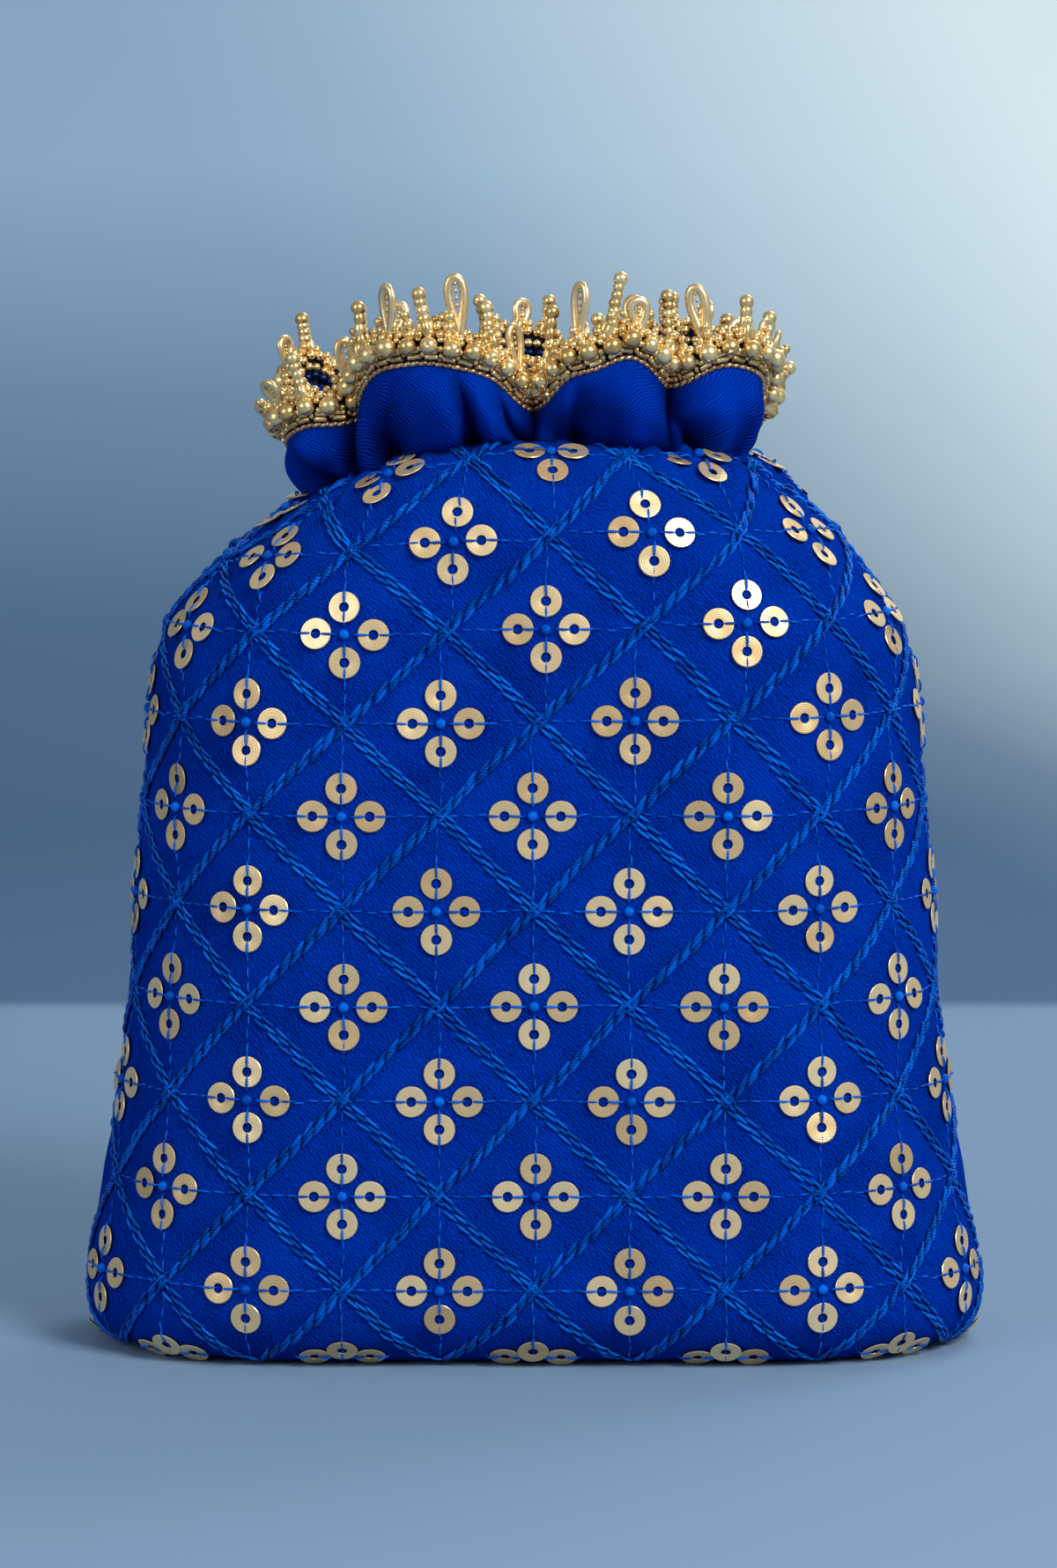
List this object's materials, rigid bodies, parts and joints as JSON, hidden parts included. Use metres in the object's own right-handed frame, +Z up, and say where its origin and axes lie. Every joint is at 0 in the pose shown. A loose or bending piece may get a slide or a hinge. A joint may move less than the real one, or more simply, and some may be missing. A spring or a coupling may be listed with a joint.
{
  "type": "potli bag",
  "caption": "Royal blue embroidered potli bag with a gold sequin flower lattice, a gathered neck with a plain cloth frill, and a gold bead trim with upright bead strings on its rim.",
  "frame": {"origin": "middle of the flat base, on the surface that the bag stands on", "axes": "+Z up through the neck, +X to the right as the front is seen, -Y towards the front panel"},
  "size_m": [0.2034, 0.0978, 0.2469],
  "materials": {
    "embroidered_cloth": "matte",
    "plain_cloth": "matte",
    "lining_cloth": "satin",
    "gold_beads": "polished",
    "bronze_piping": "polished",
    "dark_net": "matte"
  },
  "bodies": {
    "root": {"front_panel": "embroidered_cloth", "back_panel": "embroidered_cloth", "base_panel": "plain_cloth", "padded_lining": "lining_cloth", "frill": "plain_cloth", "rim_piping": "bronze_piping", "rim_net": "dark_net", "bugle_bead_row": "gold_beads", "round_bead_row": "gold_beads", "seed_bead_row": "gold_beads", "bead_string_01": "gold_beads", "bead_string_02": "gold_beads", "bead_string_03": "gold_beads", "bead_string_04": "gold_beads", "bead_string_05": "gold_beads", "bead_string_06": "gold_beads", "bead_string_07": "gold_beads", "bead_string_08": "gold_beads", "bead_string_09": "gold_beads", "bead_string_10": "gold_beads", "bead_string_11": "gold_beads", "bead_string_12": "gold_beads", "bead_string_13": "gold_beads", "bead_string_14": "gold_beads", "bead_string_15": "gold_beads", "bead_string_16": "gold_beads", "bead_string_17": "gold_beads", "bead_string_18": "gold_beads", "bead_string_19": "gold_beads", "bead_string_20": "gold_beads", "bead_string_21": "gold_beads", "teardrop_loop_01": "gold_beads", "teardrop_loop_02": "gold_beads", "teardrop_loop_03": "gold_beads", "teardrop_loop_04": "gold_beads", "teardrop_loop_05": "gold_beads", "teardrop_loop_06": "gold_beads", "teardrop_loop_07": "gold_beads", "teardrop_loop_08": "gold_beads", "teardrop_loop_09": "gold_beads", "teardrop_loop_10": "gold_beads", "teardrop_loop_11": "gold_beads", "teardrop_loop_12": "gold_beads", "teardrop_loop_13": "gold_beads", "teardrop_loop_14": "gold_beads", "teardrop_loop_15": "gold_beads", "teardrop_loop_16": "gold_beads", "teardrop_loop_17": "gold_beads", "teardrop_loop_18": "gold_beads", "teardrop_loop_19": "gold_beads", "teardrop_loop_20": "gold_beads", "teardrop_loop_21": "gold_beads"}
  },
  "joints": []
}
